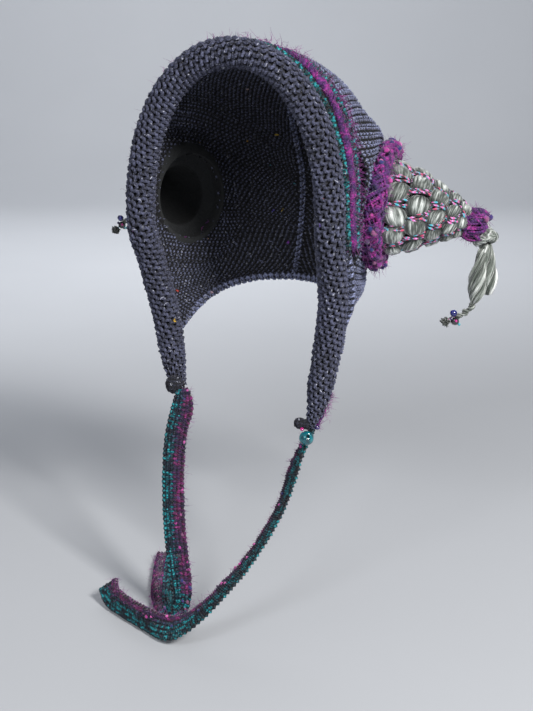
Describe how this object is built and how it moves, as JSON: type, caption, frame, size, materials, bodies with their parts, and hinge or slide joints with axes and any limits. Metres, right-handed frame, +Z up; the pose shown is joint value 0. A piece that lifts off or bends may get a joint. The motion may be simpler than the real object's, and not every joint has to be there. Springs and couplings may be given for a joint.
{
  "type": "knitted jester hat",
  "caption": "Knitted hood with a rolled face edge, ear flaps with long ties, and two padded side horns with beaded tassels.",
  "frame": {"origin": "top of the wearer's head inside the crown, where the hood rests", "axes": "+Z up, -Y the way the wearer faces, +X the wearer's left"},
  "size_m": [0.3682, 0.2204, 0.458],
  "materials": {
    "slate_knit": "knitted wool with glitter thread, matte",
    "teal_yarn": "knitted tweed yarn, matte",
    "mohair_ribbon": "brushed mohair, fuzzy",
    "roving": "unspun wool roving, soft sheen",
    "bead_glass_teal": "glossy glass",
    "bead_glass_blue": "glossy glass",
    "bead_glass_black": "glossy glass",
    "bead_glass_violet": "glossy glass"
  },
  "bodies": {
    "root": {"face_roll": "slate_knit", "stripe_teal_front": "teal_yarn", "stripe_ribbon": "mohair_ribbon", "stripe_teal_back": "teal_yarn", "crown": "slate_knit", "horn_left": "roving", "horn_right": "roving", "horn_ring_left": "mohair_ribbon", "horn_ring_right": "mohair_ribbon", "tip_ring_left": "mohair_ribbon", "tip_ring_right": "mohair_ribbon", "tassel_left": "roving", "tassel_right": "roving", "bead_black_left": "bead_glass_black", "bead_black_right": "bead_glass_black", "bead_blue_left": "bead_glass_blue", "bead_blue_right": "bead_glass_blue", "cord_end_left": "roving", "cord_end_right": "roving", "flap_bead_teal": "bead_glass_teal", "flap_bead_violet": "bead_glass_violet", "tie_left": "teal_yarn", "tie_right": "teal_yarn"}
  },
  "joints": []
}
